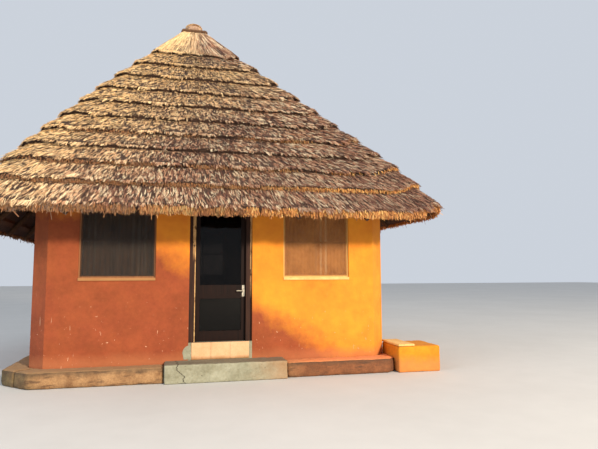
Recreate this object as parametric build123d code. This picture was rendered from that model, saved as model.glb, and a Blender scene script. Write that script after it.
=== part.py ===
from build123d import *
import math
import os

# A thatched one-room hut on a square plan with cut corners.
# X runs along the door side, the door side faces -Y, Z = 0 is the ground
# and the origin is the middle of the walls on the ground. All sizes in mm.

# Walls
WALL_SPAN = 4680
CORNER_CUT = 200
WALL_THICKNESS = 240
LINTEL_HEIGHT = 190

# Plinth round the walls, entry step, floor and the low block at the side
PLINTH_HEIGHT = 200
PLINTH_REACH = 280
STEP_WIDTH = 1540
STEP_SHIFT = 60
STEP_HEIGHT = 235
STEP_REACH = 340
FLOOR_TOP = 450
BLOCK_WIDTH = 620
BLOCK_DEPTH = 600
BLOCK_HEIGHT = 350
BLOCK_GAP = 30
BLOCK_FRONT_REACH = 310
COPING_THICKNESS = 30
COPING_WIDTH = 240

# Doorway, its frame and its glazed leaf
DOORWAY_WIDTH = 830
DOORWAY_HEIGHT = 2000
RISER_TILE_COUNT = 3
RISER_TILE_MARGIN = 40
RISER_TILE_THICKNESS = 10
RISER_TILE_JOINT = 3
DOOR_FRAME_WIDTH = 45
DOOR_FRAME_DEPTH = 90
DOOR_FRAME_RECESS = 40
DOOR_STOP = 35
DOOR_GAP = 5
LEAF_THICKNESS = 40
STILE_WIDTH = 90
TOP_RAIL = 100
LOCK_RAIL = 180
LOCK_RAIL_HEIGHT = 560
BOTTOM_RAIL = 130
GLASS_THICKNESS = 4
GLASS_GROOVE = 8
HINGE_RADIUS = 7
HINGE_PIN_RADIUS = 4
HINGE_PLATE = 2.5
HINGE_PLATE_WIDTH = 30
HINGE_KNUCKLE = 45
HINGE_INSET = 220
HINGE_STAND_OFF = 8
RUNNING_GAP = 0.3
HANDLE_HEIGHT = 660
HANDLE_PLATE_WIDTH = 36
HANDLE_PLATE_HEIGHT = 150
HANDLE_PLATE_THICKNESS = 3
HANDLE_ROSE = 12
HANDLE_NECK = 38
HANDLE_BAR_RADIUS = 8
HANDLE_BAR_LENGTH = 95
HANDLE_EDGE = 60

# Windows
WINDOW_WIDTH = 935
WINDOW_HEIGHT = 1000
WINDOW_SILL_TOP = 1290
WINDOW_OFFSET = 1310
SILL_THICKNESS = 35
SILL_PROUD = 15
WINDOW_RECESS = 25
WINDOW_FRAME = 32
WINDOW_FRAME_DEPTH = 50
MULLION = 26
TRANSOM = 30
BAR_DEPTH = 30
TRANSOM_HEIGHT = 480
ROD_RADIUS = 8
ROD_DROP = 60
ROD_BEHIND_FRAME = 80
CURTAIN_THICKNESS = 36
CURTAIN_SIDE_GAP = 12
CURTAIN_FOOT_GAP = 25

# Roof timbers
PLATE_WIDTH = 120
PLATE_HEIGHT = 100
RAFTER_RADIUS = 35
HIP_RADIUS = 42
RAFTER_SEAT = 24
RAFTER_TOP_SHARE = 0.2
RAFTER_FOOT_SHARE = 0.985
BATTEN_WIDTH = 45
BATTEN_THICKNESS = 25
BATTEN_BELOW_COURSE = 68
HUB_RADIUS = 95
HUB_HEIGHT = 330
HUB_DROP = 150

# Thatch: straight lines fall from one peak over the level wall plate
PEAK_HEIGHT = 5845
PEAK_SHIFT = -340
PEAK_THATCH = 350
EAVE_THATCH = 250
THATCH_BULGE = 38
THATCH_LEAN = -85
EAVE_DROP = 120
EAVE_BEND_SHARE = 0.85
EAVE_OVERHANG = 690
EAVE_CORNER_RADIUS = 700
COURSE_COUNT = 10
COURSE_TAPER = 0.04
CAP_SHARE = 0.224
COURSE_STEP = 92
BUTT_LEAN = 46
STRAIGHT_FACETS = 5
CORNER_FACETS = 5
RING_SHARE = 0.066
RING_WIDTH = 56
RING_RISE = 45
KNOB_RADIUS = 150
KNOB_FOOT_RADIUS = 120
KNOB_CROWN_RADIUS = 75
KNOB_HEIGHT = 155
KNOB_WAIST = 50
KNOB_SHOULDER = 120
KNOB_SINK = 150

HALF = WALL_SPAN / 2
FOLD = HALF - CORNER_CUT
DOORWAY_TOP = FLOOR_TOP + DOORWAY_HEIGHT
WALL_TOP = DOORWAY_TOP + LINTEL_HEIGHT
PLATE_TOP = WALL_TOP + PLATE_HEIGHT

os.makedirs("parts", exist_ok=True)


def save(shape, name):
    export_step(shape, f"parts/{name}.step")


def box(x0, x1, y0, y1, z0, z1):
    """A box given by its two faces on each axis."""
    size = (x1 - x0, y1 - y0, z1 - z0)
    middle = ((x0 + x1) / 2, (y0 + y1) / 2, (z0 + z1) / 2)
    return Pos(*middle) * Box(*size)


def rod(start, end, radius):
    """A round bar between two points."""
    axis = Vector(*end) - Vector(*start)
    plane = Plane(origin=start, z_dir=axis)
    return extrude(plane * Circle(radius), axis.length)


def prism(points, z0, z1):
    """A plan outline raised from z0 to z1."""
    face = make_face(Polyline(*points, close=True))
    return Pos(0, 0, z0) * extrude(face, z1 - z0)


def cut_square(inset):
    """The corners of the wall outline moved inwards, front right corner first."""
    half = HALF - inset
    fold = FOLD - inset * (math.sqrt(2) - 1)
    first = [(fold, -half), (half, -fold)]
    points = []
    for turn in range(4):
        angle = math.radians(90 * turn)
        c, s = round(math.cos(angle)), round(math.sin(angle))
        points += [(x * c - y * s, x * s + y * c) for x, y in first]
    return points


def turned(shape, turns):
    """The front piece carried round to another side, a quarter turn at a time."""
    return Rot(0, 0, 90 * turns) * shape


# Masonry


def wall_run(x0, x1, z0, z1):
    """A stretch of the front wall, mitred where it meets the cut corners."""
    outer, inner = cut_square(0), cut_square(WALL_THICKNESS)
    strip = [
        (-outer[0][0], outer[0][1]),
        outer[0],
        inner[0],
        (-inner[0][0], inner[0][1]),
    ]
    whole = prism(strip, z0, z1)
    return whole & box(x0, x1, -HALF, -HALF + WALL_THICKNESS, z0, z1)


def window_hole(x):
    half = WINDOW_WIDTH / 2
    bottom = WINDOW_SILL_TOP - SILL_THICKNESS
    top = WINDOW_SILL_TOP + WINDOW_HEIGHT
    return box(x - half, x + half, -HALF, -HALF + WALL_THICKNESS, bottom, top)


def masonry():
    """The walls of the front, the three plain sides and the cut corners."""
    jamb = DOORWAY_WIDTH / 2
    left = wall_run(-HALF, -jamb, 0, WALL_TOP) - window_hole(-WINDOW_OFFSET)
    right = wall_run(jamb, HALF, 0, WALL_TOP) - window_hole(WINDOW_OFFSET)
    over = wall_run(-jamb, jamb, DOORWAY_TOP, WALL_TOP)
    side = wall_run(-HALF, HALF, 0, WALL_TOP) - window_hole(0)
    outer, inner = cut_square(0), cut_square(WALL_THICKNESS)
    corner = prism([outer[0], outer[1], inner[1], inner[0]], 0, WALL_TOP)
    pieces = {
        "front_wall_left": left,
        "front_wall_right": right,
        "wall_over_door": over,
        "right_wall": turned(side, 1),
        "back_wall": turned(side, 2),
        "left_wall": turned(side, 3),
    }
    pieces["corner_walls"] = Compound([turned(corner, turn) for turn in range(4)])
    return pieces


def floor_and_plinth():
    """Floor on its fill, threshold with tiles, plinth, entry step and side block."""
    jamb = DOORWAY_WIDTH / 2
    face = -HALF
    inner_face = face + WALL_THICKNESS
    floor = prism(cut_square(WALL_THICKNESS), 0, FLOOR_TOP)
    threshold = box(-jamb, jamb, face, inner_face, 0, FLOOR_TOP)
    tiles = []
    pitch = (DOORWAY_WIDTH - 2 * RISER_TILE_MARGIN) / RISER_TILE_COUNT
    half_joint = RISER_TILE_JOINT / 2
    for k in range(RISER_TILE_COUNT):
        x = (k - RISER_TILE_COUNT / 2) * pitch
        tiles.append(
            box(
                x + half_joint,
                x + pitch - half_joint,
                face - RISER_TILE_THICKNESS,
                face,
                STEP_HEIGHT,
                FLOOR_TOP,
            )
        )
    step_x0 = STEP_SHIFT - STEP_WIDTH / 2
    step_x1 = STEP_SHIFT + STEP_WIDTH / 2
    step = box(step_x0, step_x1, face - STEP_REACH, face, 0, STEP_HEIGHT)
    block_x0 = HALF + BLOCK_GAP
    block_y0 = face - BLOCK_FRONT_REACH
    block_y1 = block_y0 + BLOCK_DEPTH
    block = box(
        block_x0, block_x0 + BLOCK_WIDTH, block_y0, block_y1, 0, BLOCK_HEIGHT
    )
    coping = box(
        block_x0,
        block_x0 + COPING_WIDTH,
        block_y0,
        block_y1,
        BLOCK_HEIGHT,
        BLOCK_HEIGHT + COPING_THICKNESS,
    )
    ring = prism(cut_square(-PLINTH_REACH), 0, PLINTH_HEIGHT)
    ring -= prism(cut_square(0), 0, PLINTH_HEIGHT)
    ring -= step
    ring -= block
    reach = HALF + PLINTH_REACH
    wedge = [(0, 0), (2 * reach, -2 * reach), (2 * reach, 2 * reach)]
    quarter = prism(wedge, 0, PLINTH_HEIGHT)
    front = (ring & turned(quarter, 3)).solids().sort_by(Axis.X)
    return {
        "floor_slab": floor,
        "threshold": threshold,
        "riser_tiles": Compound(tiles),
        "entry_step": step,
        "side_block": block,
        "side_block_coping": coping,
        "plinth_front_left": front[0],
        "plinth_front_right": front[-1],
        "plinth_right": ring & quarter,
        "plinth_back": ring & turned(quarter, 1),
        "plinth_left": ring & turned(quarter, 2),
    }


# Door

FRAME_Y0 = -HALF + DOOR_FRAME_RECESS
FRAME_Y1 = FRAME_Y0 + DOOR_FRAME_DEPTH
LEAF_HALF = DOORWAY_WIDTH / 2 - DOOR_FRAME_WIDTH - DOOR_GAP
LEAF_BOTTOM = FLOOR_TOP + DOOR_GAP
LEAF_TOP = DOORWAY_TOP - DOOR_FRAME_WIDTH - DOOR_GAP
HINGE_X = -LEAF_HALF - DOOR_GAP / 2
HINGE_Y = FRAME_Y1 + HINGE_STAND_OFF


def door_frame():
    """Two posts and a head with a stop on the outer side of the leaf."""
    outer = DOORWAY_WIDTH / 2
    inner = outer - DOOR_FRAME_WIDTH
    head = DOORWAY_TOP - DOOR_FRAME_WIDTH
    frame = box(-outer, outer, FRAME_Y0, FRAME_Y1, FLOOR_TOP, DOORWAY_TOP)
    frame -= box(-inner, inner, FRAME_Y0, FRAME_Y1, FLOOR_TOP, head)
    stop_y1 = FRAME_Y1 - LEAF_THICKNESS - DOOR_GAP
    stop = box(-inner, inner, FRAME_Y0, stop_y1, FLOOR_TOP, head)
    narrow = inner - DOOR_STOP
    stop -= box(-narrow, narrow, FRAME_Y0, stop_y1, FLOOR_TOP, head - DOOR_STOP)
    return frame + stop


def leaf_lights():
    """The two glazed openings of the leaf as (bottom, top) heights."""
    lock = FLOOR_TOP + LOCK_RAIL_HEIGHT
    return (
        (LEAF_BOTTOM + BOTTOM_RAIL, lock),
        (lock + LOCK_RAIL, LEAF_TOP - TOP_RAIL),
    )


def door_leaf_and_glass():
    """Stiles and rails with two panes let into grooves."""
    y0 = FRAME_Y1 - LEAF_THICKNESS
    leaf = box(-LEAF_HALF, LEAF_HALF, y0, FRAME_Y1, LEAF_BOTTOM, LEAF_TOP)
    light = LEAF_HALF - STILE_WIDTH
    pane_y0 = (y0 + FRAME_Y1 - GLASS_THICKNESS) / 2
    panes = []
    for bottom, top in leaf_lights():
        leaf -= box(-light, light, y0, FRAME_Y1, bottom, top)
        pane = box(
            -light - GLASS_GROOVE,
            light + GLASS_GROOVE,
            pane_y0,
            pane_y0 + GLASS_THICKNESS,
            bottom - GLASS_GROOVE,
            top + GLASS_GROOVE,
        )
        leaf -= pane
        panes.append(pane)
    return leaf, Compound(panes)


def door_hinges():
    """Butt hinges on the inner face: pin halves on the frame, tubes on the leaf."""
    fixed, moving = [], []
    plate_y1 = FRAME_Y1 + HINGE_PLATE
    for z in (FLOOR_TOP + HINGE_INSET, LEAF_TOP - HINGE_INSET):
        lower = z - HINGE_KNUCKLE
        upper = z + HINGE_KNUCKLE
        foot = (HINGE_X, HINGE_Y, lower)
        seat = (HINGE_X, HINGE_Y, z)
        lift = (HINGE_X, HINGE_Y, z + RUNNING_GAP)
        tip = (HINGE_X, HINGE_Y, upper)
        plate = box(
            HINGE_X - HINGE_PLATE_WIDTH, HINGE_X, FRAME_Y1, plate_y1, lower, z
        )
        knuckle = rod(foot, seat, HINGE_RADIUS) + rod(foot, tip, HINGE_PIN_RADIUS)
        fixed.append((plate + web(-1, lower, z) + knuckle).solid())
        plate = box(
            HINGE_X + DOOR_GAP / 2,
            HINGE_X + HINGE_PLATE_WIDTH,
            FRAME_Y1,
            plate_y1,
            z + RUNNING_GAP,
            upper,
        )
        tube = rod(lift, tip, HINGE_RADIUS) + web(1, z + RUNNING_GAP, upper)
        hole = rod(foot, tip, HINGE_PIN_RADIUS + RUNNING_GAP)
        moving.append((plate + tube - hole).solid())
    return Compound(fixed), Compound(moving)


def web(side, z0, z1):
    """The curl of a hinge plate that reaches from its flat to the knuckle."""
    near = HINGE_X + side * DOOR_GAP / 2
    far = HINGE_X + side * HINGE_RADIUS
    x0, x1 = sorted((near, far))
    return box(x0, x1, FRAME_Y1, HINGE_Y, z0, z1)


def door_handle():
    """A back plate, a neck and a lever on each face of the right stile."""
    x = LEAF_HALF - HANDLE_EDGE
    z = FLOOR_TOP + HANDLE_HEIGHT
    half = HANDLE_PLATE_WIDTH / 2
    solids = []
    for face, out in ((FRAME_Y1 - LEAF_THICKNESS, -1), (FRAME_Y1, 1)):
        plate_face = face + out * HANDLE_PLATE_THICKNESS
        y0, y1 = sorted((face, plate_face))
        tall = HANDLE_PLATE_HEIGHT / 2
        plate = box(x - half, x + half, y0, y1, z - tall, z + tall)
        neck_end = face + out * HANDLE_NECK
        neck = rod((x, face, z), (x, neck_end, z), HANDLE_ROSE)
        bar_y = neck_end - out * HANDLE_ROSE
        bar = rod(
            (x + HANDLE_ROSE, bar_y, z),
            (x - HANDLE_BAR_LENGTH, bar_y, z),
            HANDLE_BAR_RADIUS,
        )
        solids.append((plate + neck + bar).solid())
    return Compound(solids)


# Windows


def window_set(x):
    """Frame, crossed bars, four panes, sill, rod and curtain of the window at x."""
    half = WINDOW_WIDTH / 2
    y0 = -HALF + WINDOW_RECESS
    y1 = y0 + WINDOW_FRAME_DEPTH
    z0, z1 = WINDOW_SILL_TOP, WINDOW_SILL_TOP + WINDOW_HEIGHT
    frame = box(x - half, x + half, y0, y1, z0, z1)
    pane_y0 = (y0 + y1 - GLASS_THICKNESS) / 2
    transom = z0 + TRANSOM_HEIGHT
    inner = half - WINDOW_FRAME
    foot, head = z0 + WINDOW_FRAME, z1 - WINDOW_FRAME
    frame -= box(x - inner, x + inner, y0, y1, foot, head)
    bar_y0 = (y0 + y1 - BAR_DEPTH) / 2
    bar_y1 = bar_y0 + BAR_DEPTH
    bars = box(x - MULLION / 2, x + MULLION / 2, bar_y0, bar_y1, foot, head)
    bars += box(
        x - inner, x + inner, bar_y0, bar_y1, transom - TRANSOM / 2, transom + TRANSOM / 2
    )
    columns = ((x - inner, x - MULLION / 2), (x + MULLION / 2, x + inner))
    rows = ((foot, transom - TRANSOM / 2), (transom + TRANSOM / 2, head))
    panes = []
    for left, right in columns:
        for bottom, top in rows:
            pane = box(
                left - GLASS_GROOVE,
                right + GLASS_GROOVE,
                pane_y0,
                pane_y0 + GLASS_THICKNESS,
                bottom - GLASS_GROOVE,
                top + GLASS_GROOVE,
            )
            frame -= pane
            bars -= pane
            panes.append(pane)
    sill_y0 = -HALF - SILL_PROUD
    inner_face = -HALF + WALL_THICKNESS
    sill = box(x - half, x + half, sill_y0, inner_face, z0 - SILL_THICKNESS, z0)
    rod_y = y1 + ROD_BEHIND_FRAME
    rod_z = z1 - ROD_DROP
    bar = rod((x - half, rod_y, rod_z), (x + half, rod_y, rod_z), ROD_RADIUS)
    curtain = box(
        x - half + CURTAIN_SIDE_GAP,
        x + half - CURTAIN_SIDE_GAP,
        rod_y - CURTAIN_THICKNESS / 2,
        rod_y + CURTAIN_THICKNESS / 2,
        z0 + CURTAIN_FOOT_GAP,
        rod_z - ROD_RADIUS - RUNNING_GAP,
    )
    return frame, bars, panes, sill, bar, curtain


def windows():
    """The two front windows and one in each other side."""
    pieces = {}
    sills, rods, panes, crosses = [], [], [], []
    for name, x in (("left", -WINDOW_OFFSET), ("right", WINDOW_OFFSET)):
        frame, bars, glass, sill, bar, curtain = window_set(x)
        pieces[f"window_frame_front_{name}"] = frame
        pieces[f"curtain_front_{name}"] = curtain
        crosses.append(bars.solid())
        panes += glass
        sills.append(sill)
        rods.append(bar)
    frame, bars, glass, sill, _, _ = window_set(0)
    for turn, name in ((1, "right"), (2, "back"), (3, "left")):
        pieces[f"window_frame_{name}"] = turned(frame, turn)
        crosses.append(turned(bars.solid(), turn))
        panes += [turned(pane, turn) for pane in glass]
        sills.append(turned(sill, turn))
    pieces["window_bars"] = Compound(crosses)
    pieces["window_glass"] = Compound(panes)
    pieces["window_sills"] = Compound(sills)
    pieces["curtain_rods"] = Compound(rods)
    return pieces


# Roof

PEAK = Vector(PEAK_SHIFT, 0, PEAK_HEIGHT - PEAK_THATCH)
EAVE_HALF = HALF + EAVE_OVERHANG


def eave_plan():
    """Points round the eave: straight sides joined by rounded corners."""
    run = EAVE_HALF - EAVE_CORNER_RADIUS
    quarter = []
    for k in range(STRAIGHT_FACETS):
        quarter.append((-run + 2 * run * k / STRAIGHT_FACETS, -EAVE_HALF))
    for k in range(CORNER_FACETS):
        angle = math.radians(90 * k / CORNER_FACETS - 90)
        x = run + EAVE_CORNER_RADIUS * math.cos(angle)
        y = -run + EAVE_CORNER_RADIUS * math.sin(angle)
        quarter.append((x, y))
    points = []
    for turn in range(4):
        angle = math.radians(90 * turn)
        c, s = round(math.cos(angle)), round(math.sin(angle))
        points += [(x * c - y * s, x * s + y * c) for x, y in quarter]
    return points


def wall_share(x, y):
    """How far along the line from the peak to (x, y) the outer wall face is met."""
    dx, dy = x - PEAK.X, y - PEAK.Y
    slant = 2 * HALF - CORNER_CUT
    sides = [(1, 0, HALF), (-1, 0, HALF), (0, 1, HALF), (0, -1, HALF)]
    sides += [(i, j, slant) for i in (1, -1) for j in (1, -1)]
    shares = []
    for i, j, reach in sides:
        fall = i * dx + j * dy
        if fall > 0:
            shares.append((reach - i * PEAK.X - j * PEAK.Y) / fall)
    return min(shares)


def roof_slope_at(a, b):
    """Cosine of the slope of the roof plane through the peak and points a and b."""
    normal = (a - PEAK).cross(b - PEAK).normalized()
    return abs(normal.Z)


# The least raised common pole sets the level of the roof over the wall.
POLE_STACK = 2 * RAFTER_RADIUS + BATTEN_THICKNESS
SEAT_COSINE = math.cos(
    math.atan2(PEAK.Z - PLATE_TOP - POLE_STACK, EAVE_HALF - EAVE_OVERHANG)
)
WALL_LEVEL = PLATE_TOP - RAFTER_SEAT + POLE_STACK / SEAT_COSINE
BATTEN_DEPTH = BATTEN_THICKNESS / SEAT_COSINE
EAVE = []
for px, py in eave_plan():
    drop = (PEAK.Z - WALL_LEVEL) / wall_share(px, py)
    EAVE.append(Vector(px, py, PEAK.Z - drop))


def roof_point(i, share, lift, lean=0):
    """A point on line i from the peak to the eave, lifted up and moved along X."""
    point = PEAK + (EAVE[i % len(EAVE)] - PEAK) * share
    return Vector(point.X + lean, point.Y, point.Z + lift)


def flat(points):
    return Face(Wire.make_polygon(points, close=True))


def roof_ring(section):
    """A closed ring whose section is a list of (share, lift, lean) corners."""
    faces = []
    count = len(section)
    for i in range(len(EAVE)):
        for k in range(count):
            a, b = section[k], section[(k + 1) % count]
            corners = [
                roof_point(i, *a),
                roof_point(i + 1, *a),
                roof_point(i + 1, *b),
                roof_point(i, *b),
            ]
            faces.append(flat(corners))
    return Solid(Shell(faces))


def outer_corner(share, sink=0, reach=0):
    """A corner on the outside of the thatch, sunk below it or past the share."""
    hump = 4 * share * (1 - share)
    bend = max(0, share - EAVE_BEND_SHARE) / (1 - EAVE_BEND_SHARE)
    lift = PEAK_THATCH + (EAVE_THATCH - PEAK_THATCH) * share
    lift += THATCH_BULGE * hump - EAVE_DROP * bend**2
    return (share + reach, lift - sink, THATCH_LEAN * hump)


def course_shares():
    """Where each course ends, from the cap to the eave, each narrower than the last."""
    widths = [1 - COURSE_TAPER * k for k in range(COURSE_COUNT)]
    span = (1 - CAP_SHARE) / sum(widths)
    return [CAP_SHARE + span * sum(widths[:k]) for k in range(COURSE_COUNT + 1)]


BUTT_SHARE = BUTT_LEAN / EAVE_HALF


def thatch_courses():
    """Each course laps over the one below with its butt standing proud."""
    rings = []
    shares = course_shares()
    for top, bottom in zip(shares, shares[1:]):
        section = [
            (top, 0, 0),
            outer_corner(top, sink=COURSE_STEP),
            outer_corner(bottom, reach=BUTT_SHARE),
        ]
        if bottom < 1:
            section.append(outer_corner(bottom, sink=COURSE_STEP))
        section.append((bottom, 0, 0))
        rings.append(roof_ring(section))
    return rings


def thatch_cap():
    """The smooth top: straw gathered to the peak, open below like a bell."""
    top = Vector(PEAK_SHIFT, 0, PEAK_HEIGHT)
    section = [
        outer_corner(CAP_SHARE, reach=BUTT_SHARE),
        outer_corner(CAP_SHARE, sink=COURSE_STEP),
        (CAP_SHARE, 0, 0),
    ]
    faces = []
    for i in range(len(EAVE)):
        outer = [roof_point(i, *section[0]), roof_point(i + 1, *section[0]), top]
        faces.append(flat(outer))
        inner = [roof_point(i, *section[-1]), roof_point(i + 1, *section[-1]), PEAK]
        faces.append(flat(inner))
        for a, b in zip(section, section[1:]):
            corners = [
                roof_point(i, *a),
                roof_point(i + 1, *a),
                roof_point(i + 1, *b),
                roof_point(i, *b),
            ]
            faces.append(flat(corners))
    return Solid(Shell(faces))


def on_cap(share, rise=0):
    """A corner on the outer face of the cap, or raised above it."""
    foot_share, foot_lift, foot_lean = outer_corner(CAP_SHARE, reach=BUTT_SHARE)
    part = share / foot_share
    lift = PEAK_THATCH + (foot_lift - PEAK_THATCH) * part
    return (share, lift + rise, foot_lean * part)


def peak_binding():
    """The flat ring of straw rope that lies on the cap below the knob."""
    half = RING_WIDTH / 2 / EAVE_HALF
    section = [
        on_cap(RING_SHARE - half),
        on_cap(RING_SHARE - half / 2, RING_RISE),
        on_cap(RING_SHARE + half / 2, RING_RISE),
        on_cap(RING_SHARE + half),
    ]
    return roof_ring(section)


def peak_knob(cap):
    """The bound tuft on the peak."""
    base = PEAK_HEIGHT - KNOB_SINK
    top = base + KNOB_HEIGHT
    shoulder = base + KNOB_SHOULDER
    with BuildPart() as knob:
        with BuildSketch(Plane.XZ):
            with BuildLine():
                Line((0, base), (KNOB_FOOT_RADIUS, base))
                ThreePointArc(
                    (KNOB_FOOT_RADIUS, base),
                    (KNOB_RADIUS, base + KNOB_WAIST),
                    (KNOB_CROWN_RADIUS, shoulder),
                )
                Line((KNOB_CROWN_RADIUS, shoulder), (0, top))
                Line((0, top), (0, base))
            make_face()
        revolve(axis=Axis.Z)
    tuft = Pos(PEAK_SHIFT, 0, 0) * knob.part - cap
    return tuft.solid()


def wall_plate():
    outer = prism(cut_square(0), WALL_TOP, PLATE_TOP)
    return outer - prism(cut_square(PLATE_WIDTH), WALL_TOP, PLATE_TOP)


def pole(i, radius, top_share):
    """A straight pole under the middle of roof facet i, touching the battens."""
    a, b = EAVE[i], EAVE[(i + 1) % len(EAVE)]
    cosine = roof_slope_at(a, b)
    drop = BATTEN_DEPTH + (radius + RUNNING_GAP) / cosine
    down = Vector(0, 0, -drop)
    middle = (a + b) * 0.5
    start = PEAK + (middle - PEAK) * top_share + down
    end = PEAK + (middle - PEAK) * RAFTER_FOOT_SHARE + down
    return rod(tuple(start), tuple(end), radius)


def rafters(plate, hub):
    """Common poles under the straight sides and hip poles under the corners."""
    facets = STRAIGHT_FACETS + CORNER_FACETS
    sides = {}
    for turn, name in enumerate(("front", "right", "back", "left")):
        first = turn * facets
        poles = []
        for k in range(STRAIGHT_FACETS):
            common = pole(first + k, RAFTER_RADIUS, RAFTER_TOP_SHARE) - plate
            poles.append(common.solid())
        sides[f"rafters_{name}"] = Compound(poles)
    hips = []
    for turn in range(4):
        i = turn * facets + STRAIGHT_FACETS + CORNER_FACETS // 2
        hip = pole(i, HIP_RADIUS, 0) - plate - hub
        hips.append(hip.solids().sort_by(SortBy.VOLUME)[-1])
    sides["hip_rafters"] = Compound(hips)
    return sides


def battens():
    """Laths tied round the poles, one under each course."""
    half = BATTEN_WIDTH / 2 / EAVE_HALF
    rings = []
    for share in course_shares()[:-1]:
        middle = share + BATTEN_BELOW_COURSE / EAVE_HALF
        section = [
            (middle - half, 0),
            (middle + half, 0),
            (middle + half, -BATTEN_DEPTH),
            (middle - half, -BATTEN_DEPTH),
        ]
        rings.append(roof_ring(section))
    return Compound(rings)


def roof():
    cap = thatch_cap()
    plate = wall_plate()
    hub_top = PEAK.Z - HUB_DROP
    hub = rod(
        (PEAK_SHIFT, 0, hub_top - HUB_HEIGHT), (PEAK_SHIFT, 0, hub_top), HUB_RADIUS
    )
    pieces = {
        "wall_plate": plate,
        "peak_hub": hub,
        "roof_battens": battens(),
        "thatch_cap": cap,
        "peak_knob": peak_knob(cap),
        "peak_binding": peak_binding(),
    }
    pieces.update(rafters(plate, hub))
    for k, course in enumerate(thatch_courses(), start=1):
        pieces[f"thatch_course_{k:02d}"] = course
    return pieces


def main():
    leaf, leaf_glass = door_leaf_and_glass()
    frame_hinges, leaf_hinges = door_hinges()
    pieces = {}
    pieces.update(masonry())
    pieces.update(floor_and_plinth())
    pieces.update(windows())
    pieces.update(roof())
    pieces["door_frame"] = door_frame()
    pieces["door_leaf"] = leaf
    pieces["door_glass"] = leaf_glass
    pieces["door_handle"] = door_handle()
    pieces["frame_hinges"] = frame_hinges
    pieces["leaf_hinges"] = leaf_hinges
    for name, shape in pieces.items():
        save(shape, name)
    print(len(pieces), "nodes, wall level", round(WALL_LEVEL))
    print("eave heights", sorted({round(p.Z) for p in EAVE}))


main()
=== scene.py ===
import math

import bpy
import numpy as np
from mathutils import Matrix, Vector, noise


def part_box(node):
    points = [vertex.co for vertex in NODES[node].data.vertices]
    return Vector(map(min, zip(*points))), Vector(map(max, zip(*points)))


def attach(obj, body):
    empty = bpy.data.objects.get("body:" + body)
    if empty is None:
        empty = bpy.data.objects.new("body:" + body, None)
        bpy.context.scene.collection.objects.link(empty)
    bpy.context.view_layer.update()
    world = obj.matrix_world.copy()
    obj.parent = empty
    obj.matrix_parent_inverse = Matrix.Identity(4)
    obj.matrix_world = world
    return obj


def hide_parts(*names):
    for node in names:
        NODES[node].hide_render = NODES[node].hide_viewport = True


# A thatched one-room hut, dressed over its CAD nodes. X runs along the door side,
# which faces -Y, and Z = 0 is the ground. Lengths are in metres.

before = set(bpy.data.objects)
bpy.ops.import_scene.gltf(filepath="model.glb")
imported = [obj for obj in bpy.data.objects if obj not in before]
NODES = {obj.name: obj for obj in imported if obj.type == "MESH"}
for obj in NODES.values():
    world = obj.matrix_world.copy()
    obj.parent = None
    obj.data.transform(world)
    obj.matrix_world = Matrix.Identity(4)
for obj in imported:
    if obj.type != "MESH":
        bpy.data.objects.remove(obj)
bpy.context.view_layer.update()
COURSES = sorted(name for name in NODES if name.startswith("thatch_course"))

# Camera, as the photograph was taken
IMAGE_WIDTH = 598
FOCAL_PIXELS = 526
SENSOR_WIDTH = 36
CAMERA_PLACE = (-0.62, -9.395, 1.33)
CAMERA_YAW = math.radians(13.4)
CAMERA_PITCH = math.radians(5.4)
CAMERA_ROLL = math.radians(-0.15)

# Grass on the courses
STALK_WIDTH = 0.006
STALK_LENGTH = 0.095
STALK_LIFT = 0.024
STALKS_PER_AREA = 5100
MOST_STALKS = 96000
STALKS_IN_A_WISP = 3
WISP_SPREAD = 0.005
WISP_TONE_MEAN = 0.56
WISP_TONE_SPREAD = 0.38
TUFT_WIDTH = 0.12
OVERHANG = 0.055
UNTIDY = 0.9

# Grass on the lower courses, from this number on
LOWER_COURSES = 8
LOWER_STALK_LENGTH = 0.115
LOWER_UNTIDY = 0.65
NINTH_OVERHANG = 0.028

# Grass on the cap
CAP_STALKS = 20000
CAP_STALK_LENGTH = 0.55
CAP_STALK_LIFT = 0.012
CAP_OVERHANG = 0.05
CAP_UNTIDY = 0.12

# Golden cut ends, under these courses only: below 0 they show nearly all round
CUT_ENDS_SHOW = {6: 0.35, 8: 0.1, 9: -0.45}
CUT_ENDS_PER_LENGTH = 650
CUT_END_WIDTH = 0.008

# Fringe of the eave
FRINGE_STALKS = 30000
FRINGE_STALK_WIDTH = 0.0095
FRINGE_TUFT_WIDTH = 0.11
FRINGE_DEPTH = 0.05
FRINGE_HEIGHT = 0.085
FRINGE_DROP = 0.115
STRAY_SHARE = 0.006

# Knob and binding at the peak
KNOB_STALKS = 2600
KNOB_STALK_WIDTH = 0.007
ROPE_POINTS = 240
ROPE_SIDES = 8
ROPE_STRANDS = 3
ROPE_TURNS = 20
ROPE_RADIUS = 0.024
STRAND_SHARE = 0.7

# Windows, with their quarter turns from the front, their gauze and curtains
WINDOW_TURNS = {"front_left": 0, "front_right": 0, "right": 1, "back": 2, "left": 3}
WINDOW_BORDER = 0.032
GAUZE_OVERLAP = 0.014
GAUZE_PROUD = 0.0012
GAUZE_SAG = 0.0025
CURTAIN_SEEDS = {"left": 3, "right": 8}
FOLD_WIDTH = 0.061

# Bare cement beside the riser tiles. Each rim has its share of the outline and how far
# it stands off the wall
PATCH_LEFT = 0.045
PATCH_UP = 0.065
PATCH_POINTS = 36
PATCH_RIMS = ((1.0, -0.002), (0.95, 0.004), (0.6, 0.006))
PATCH_MIDDLE_PROUD = 0.006
PATCH_SIDE = 0.042
PATCH_REACH = 0.115
PATCH_RISE = 0.125
PATCH_FOOT = -0.062


# Colours and node groups


def color(red, green, blue):
    """A colour from its 0 to 255 values on a screen, in linear light."""
    def linear(value):
        share = value / 255
        if share <= 0.04045:
            return share / 12.92
        return ((share + 0.055) / 1.055) ** 2.4

    return (linear(red), linear(green), linear(blue), 1.0)


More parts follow.
